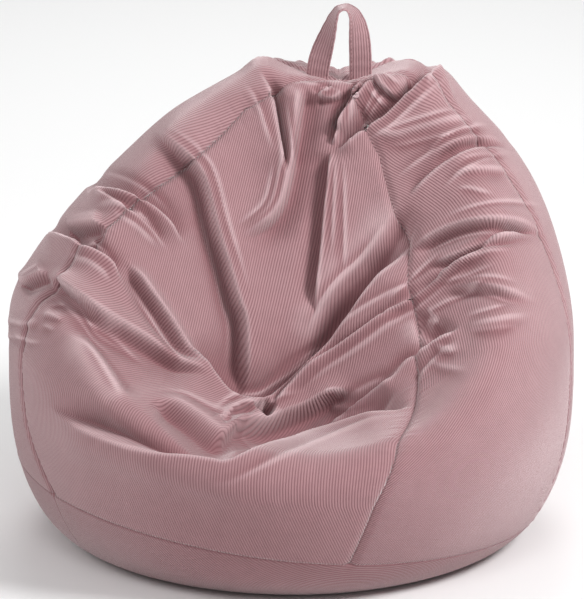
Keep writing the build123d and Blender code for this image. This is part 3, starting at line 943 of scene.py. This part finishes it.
def make_inside(shaped):
    """The liner and its filling, drawn in from the folded cover so that nothing shows through it."""
    rounder = softened(shaped[::THINNING, ::THINNING], INSIDE_SOFTENING)
    normal = normals_of(rounder)
    deeper = TOP_GAP * smooth(np.linspace(0, 1, rounder.shape[1]), *TOP_SHARES)[None, :, None]
    liner = rounder - normal * (LINER_GAP + deeper)
    fill = rounder - normal * (FILL_GAP + deeper)
    liner[..., 2] = np.maximum(liner[..., 2], LINER_LOWEST)
    fill[..., 2] = np.maximum(fill[..., 2], 2 * LINER_LOWEST)
    half = len(liner) // 2
    cloth = plain_cloth("liner_cloth", (0.80, 0.79, 0.77))
    parts = {
        "liner_right": liner[: half + 1, LINER_BASE_ROWS:],
        "liner_left": np.vstack([liner[half:], liner[:1]])[:, LINER_BASE_ROWS:],
        "liner_base": np.vstack([liner, liner[:1]])[:, : LINER_BASE_ROWS + 1],
    }
    for name, points in parts.items():
        piece = sheet(name + "_cloth", points, LINER_THICKNESS, cloth)
        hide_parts(name)
        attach(piece, "bag")
    faces = closed_faces(*fill.shape[:2])
    beads = mesh_object("bead_filling", fill.reshape(-1, 3), faces, bead_foam())
    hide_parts("bead_fill")
    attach(beads, "bag")


# ---- Thread ----

THREAD_RADIUS = 0.55 * MM
STITCH_LENGTH = 4.4 * MM
STITCH_PITCH = 7.0 * MM
STITCH_SIDES = 5
# A stitch's rings: share of its length, width and height as shares of the thread's radius.
STITCH_RINGS = ((0, 0.35, -0.6), (0.25, 1, 0.5), (0.75, 1, 0.5), (1, 0.35, -0.6))
# The rows of the cover that the upright seams' stitches run over.
STITCHED_ROWS = slice(2, -18)


def thread_material():
    n = Nodes("thread")
    twist = n.noise(n.place(), 2600, 1)
    n.look({"Base Color": n.mix(twist, (0.20, 0.09, 0.10, 1), (0.34, 0.19, 0.20, 1)), "Roughness": 0.6})
    return n.material


def stitches(name, line, normal):
    """A row of stitches along a line of points, lying on the side that the normals point to."""
    length = lengths_along(line)
    vertices = []
    faces = []
    angles = np.arange(STITCH_SIDES) * 2 * math.pi / STITCH_SIDES
    tube = tube_faces(len(STITCH_RINGS), STITCH_SIDES)
    for start in np.arange(STITCH_PITCH, length[-1] - STITCH_PITCH, STITCH_PITCH):
        first = len(vertices)
        for share, width, height in STITCH_RINGS:
            at = start + share * STITCH_LENGTH
            centre = at_lengths(at, length, line)
            up = at_lengths(at, length, normal)
            side = np.cross(at_lengths(at + MM, length, line) - centre, up)
            side /= size_of(side) + 1e-12
            centre = centre + up * THREAD_RADIUS * height
            for angle in angles:
                offset = side * math.cos(angle) + up * math.sin(angle)
                vertices.append(centre + offset * THREAD_RADIUS * width)
        faces += [[first + i for i in face] for face in tube]
    row = mesh_object(name, vertices, faces, THREAD)
    return row


def make_seam_stitches(upper):
    """Stitches along the six upright seams and the base seam."""
    normal = normals_of(upper)
    for name, start in seam_columns().items():
        line = upper[start, STITCHED_ROWS]
        facing = normal[start, STITCHED_ROWS]
        if name == "panel_rear_left":
            above = line[:, 2] > SLOT_HEAD + SLOT_END
            line, facing = line[above], facing[above]
        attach(stitches("seam_stitches_" + name, line, facing), "bag")
    ring = np.vstack([upper[:, 0], upper[:1, 0]])
    outward = np.vstack([normal[:, 0], normal[:1, 0]])
    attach(stitches("seam_stitches_base", ring, outward), "bag")


# ---- Carry handle ----

STRAP_WIDTH = 36 * MM
STRAP_HALF = 1.5 * MM
STRAP_SAMPLES = 170
STRAP_ACROSS = 40
STRAP_TONE = 0.05
STRAP_SOFTENING = 60
RIPPLE = 0.3 * MM
RIPPLE_LENGTH = 17 * MM
STITCH_INSET = 3.6 * MM
STITCH_DENT = 0.8 * MM
STITCH_DENT_WIDTH = 1.4 * MM
HANDLE_RISE = 92 * MM
HANDLE_FOOT = 0.7014
# Millimetres along X, share of the rise, and the strap's turn in degrees.
HANDLE_STATIONS = [
    (-37, -0.55, 0), (-35, -0.20, 2), (-31, 0.06, 10), (-24, 0.30, 30), (-16, 0.56, 52),
    (-10, 0.78, 68), (-3, 0.95, 82), (8, 1.00, 94), (19, 0.94, 108), (27, 0.78, 128),
    (31, 0.56, 150), (33, 0.30, 168), (34, 0.06, 176), (34, -0.20, 180), (34, -0.55, 180),
]


def strap_frames():
    """The strap's centre line, its direction across and its face's direction."""
    table = np.array(HANDLE_STATIONS, float)
    knots = np.linspace(0, 1, len(table))
    at = np.linspace(0, 1, STRAP_SAMPLES)
    along, rise, turn = (np.interp(at, knots, table[:, k]) for k in range(3))
    for _ in range(STRAP_SOFTENING):
        for row in (along, rise, turn):
            row[1:-1] = row[1:-1] / 2 + (row[:-2] + row[2:]) / 4
    centre = np.stack([APEX[0] + along * MM, APEX[1] + 0 * along, HANDLE_FOOT + rise * HANDLE_RISE], -1)
    ahead = unit(np.gradient(centre, axis=0))
    turn = np.radians(turn)
    across = np.stack([-np.cos(turn), np.sin(turn), 0 * turn], -1)
    across = unit(across - ahead * np.sum(across * ahead, axis=1, keepdims=True))
    return centre, across, np.cross(ahead, across)


def make_handle():
    """The folded corduroy strap, with two rows of stitches sunk into each of its faces."""
    centre, across, face = strap_frames()
    length = lengths_along(centre)
    place = np.linspace(-1, 1, STRAP_ACROSS) * STRAP_WIDTH / 2
    edge = np.clip((STRAP_WIDTH / 2 - np.abs(place)) / STRAP_HALF, 0, 1)
    dent = np.exp(-((np.abs(place) - STRAP_WIDTH / 2 + STITCH_INSET) / STITCH_DENT_WIDTH) ** 2)
    half = STRAP_HALF * np.sqrt(1 - (1 - edge) ** 2) - STITCH_DENT * dent
    ring_across = np.r_[place, place[-2:0:-1]]
    ring_out = np.r_[half, -half[-2:0:-1]]
    ripple = RIPPLE * np.sin(length / RIPPLE_LENGTH * 2 * math.pi)
    points = centre[:, None] + across[:, None] * ring_across[None, :, None]
    points = points + face[:, None] * (ring_out[None, :] + ripple[:, None])[..., None]
    uvs = np.stack(np.broadcast_arrays(ring_across[None, :], length[:, None]), -1)
    points = points.reshape(-1, 3)
    faces = tube_faces(STRAP_SAMPLES, len(ring_across))
    strap = mesh_object("carry_strap", points, faces, CORDUROY, uvs)
    set_painted_light(strap, np.full(len(points), STRAP_TONE))
    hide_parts("carry_handle")
    pieces = [strap]
    for which, side in (("left_", -1), ("right_", 1)):
        for tag, facing in (("out", 1), ("in", -1)):
            line = centre + across * side * (STRAP_WIDTH / 2 - STITCH_INSET)
            line = line + face * facing * (STRAP_HALF - STITCH_DENT)
            pieces.append(stitches("strap_stitches_" + which + tag, line, face * facing))
    for piece in pieces:
        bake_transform(piece)


PATCH_COLUMNS = 40
PATCH_ROWS = 14
PATCH_GAP = 6 * MM
PATCH_THICKNESS = 1.2 * MM
PATCH_SOFTENING = 4
# How many of the cover's nearest vertices each of its points stays under.
PATCH_NEIGHBOURS = 12
TAPE_COLOUR = (0.36, 0.20, 0.21)


def make_patch(shaped):
    """The reinforcing patch, under the cover where the strap is sewn through."""
    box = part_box("handle_patch")
    size = (Vector(box[1]) - Vector(box[0])) / 2
    xs = APEX[0] + np.linspace(-1, 1, PATCH_COLUMNS) * size.x
    ys = APEX[1] + np.linspace(-1, 1, PATCH_ROWS) * size.y
    grid = np.array([[(x, y, 0.0) for y in ys] for x in xs])
    cover = shaped[:, BASE_ROWS + ROWS // 2:].reshape(-1, 3)
    for point in grid.reshape(-1, 3):
        gap = np.hypot(cover[:, 0] - point[0], cover[:, 1] - point[1])
        near_by = np.argsort(gap)[:PATCH_NEIGHBOURS]
        point[2] = cover[near_by, 2].min() - PATCH_GAP
    height = grid[..., 2]
    for _ in range(PATCH_SOFTENING):
        height[1:-1, 1:-1] = (height[:-2, 1:-1] + height[2:, 1:-1] + height[1:-1, :-2] + height[1:-1, 2:]) / 4
    cloth = plain_cloth("patch_cloth", TAPE_COLOUR)
    patch = sheet("handle_patch_cloth", grid, PATCH_THICKNESS, cloth)
    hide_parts("handle_patch")
    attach(patch, "bag")


# ---- Zip ----
# The rear seam's arc, which the coils lie just inside, between these bearings in degrees.
REAR_RADIUS = 0.680
REAR_CENTRE = np.array([0, -0.246, 0]) + up_seam * (0.282 / math.cos(SEAM_LEAN))
COIL_START = -13.13
COIL_END = 25.90
COIL_RADIUS = REAR_RADIUS - 6.2 * MM
COIL_CENTRE = 1.95 * MM
COIL_HALF_WIDTH = 1.25 * MM
COIL_HALF_HEIGHT = 0.85 * MM
COIL_WIRE = 0.34 * MM
COIL_PITCH = 1.5 * MM
COIL_STEPS = 8
WIRE_SIDES = 4


def make_coil(side_name, side, material):
    """One nylon coil: a flattened helix of wire along the rear arc."""
    turns = int(math.radians(COIL_END - COIL_START) * COIL_RADIUS / COIL_PITCH)
    at = np.linspace(0, turns, turns * COIL_STEPS)
    bearing = np.radians(COIL_START + (COIL_END - COIL_START) * at / turns)
    radial = np.cos(bearing)[:, None] * np.array([0, 1.0, 0]) + np.sin(bearing)[:, None] * up_seam
    phase = at * 2 * math.pi + (math.pi if side > 0 else 0)
    across = side * (COIL_CENTRE - COIL_HALF_WIDTH * np.cos(phase))
    out = COIL_RADIUS + COIL_HALF_HEIGHT * np.sin(phase)
    centre = REAR_CENTRE + radial * out[:, None] + across_seam * across[:, None]
    ahead = unit(np.gradient(centre, axis=0))
    up = unit(radial - ahead * np.sum(radial * ahead, axis=1, keepdims=True))
    beside = np.cross(ahead, up)
    angles = np.arange(WIRE_SIDES) * 2 * math.pi / WIRE_SIDES
    ring = up[:, None] * np.sin(angles)[None, :, None] + beside[:, None] * np.cos(angles)[None, :, None]
    points = (centre[:, None] + ring * COIL_WIRE).reshape(-1, 3)
    coil = mesh_object("nylon_coil_" + side_name, points, tube_faces(len(at), WIRE_SIDES), material)
    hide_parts("zip_coil_" + side_name)
    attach(coil, "bag")


def nylon():
    n = Nodes("nylon")
    streaks = n.noise(n.place(), 400)
    n.look({"Base Color": n.mix(streaks, (0.30, 0.16, 0.17, 1), (0.40, 0.23, 0.24, 1)), "Roughness": 0.38})
    return n.material


def zip_metal():
    """Plated zinc with a brushed grain and small marks of wear."""
    n = Nodes("plated_zinc")
    grain = n.noise(n.place(), 1800, 3, 0.6)
    marks = n.noise(n.place(), 260, 3, 0.7)
    n.look({
        "Base Color": n.mix(marks, (0.50, 0.47, 0.43, 1), (0.66, 0.63, 0.58, 1)),
        "Roughness": n.plus(n.times(grain, 0.18), 0.24),
        "Metallic": 1.0,
    })
    n.bump(grain, 0.15, 0.1 * MM)
    return n.material


def finish_node(name, material):
    """Gives a CAD node that stays its own material."""
    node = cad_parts[name]
    node.data.materials.clear()
    node.data.materials.append(material)


def make_zip():
    coil_material = nylon()
    make_coil("left", -1, coil_material)
    make_coil("right", 1, coil_material)
    tape = plain_cloth("zip_tape_cloth", TAPE_COLOUR, weave=2600)
    metal = zip_metal()
    for name in ("zip_tape_left", "zip_tape_right"):
        finish_node(name, tape)
    for name in ("zip_bottom_stop", "zip_top_stop", "zip_slider", "zip_pull"):
        finish_node(name, metal)
    finish_node("liner_closure_hook", plain_cloth("hook_tape", (0.75, 0.74, 0.72), weave=4000))
    finish_node("liner_closure_loop", plain_cloth("loop_tape", (0.78, 0.77, 0.75), weave=700))


# ---- Floor and light ----

FLOOR_REACH = 30


def make_stage():
    corners = [(x * FLOOR_REACH, y * FLOOR_REACH, 0) for x, y in ((-1, -1), (1, -1), (1, 1), (-1, 1))]
    n = Nodes("floor")
    n.look({"Base Color": (0.86, 0.86, 0.86, 1), "Roughness": 0.9})
    mesh_object("floor", corners, [(0, 1, 2, 3)], n.material)


LIGHT_AIM = Vector((0, 0, 0.3))
# Place, size and power in watts.
LIGHTS = {
    "key": ((2.8, -1.4, 3.0), 1.4, 150),
    "left_fill": ((-3.4, -0.6, 2.4), 2.0, 45),
    "front_fill": ((-0.6, -3.4, 3.8), 2.4, 42),
    "back_light": ((0.0, 3.2, 3.0), 2.4, 60),
}
WORLD_STRENGTH = 0.34


def make_lights():
    for name, (place, size, power) in LIGHTS.items():
        data = bpy.data.lights.new(name, "AREA")
        data.shape = "DISK"
        data.size = size
        data.energy = power
        light = placed(name, data)
        light.location = place
        aim(light, LIGHT_AIM - Vector(place))
    world = bpy.data.worlds.new("studio")
    world.use_nodes = True
    background = world.node_tree.nodes["Background"]
    background.inputs["Color"].default_value = (1.0, 1.0, 1.0, 1)
    background.inputs["Strength"].default_value = WORLD_STRENGTH
    bpy.context.scene.world = world
    bpy.context.scene.view_settings.view_transform = "Standard"


make_camera()
make_stage()
make_lights()
CORDUROY = corduroy()
THREAD = thread_material()
make_seam_stitches(make_cover())
make_handle()
make_zip()
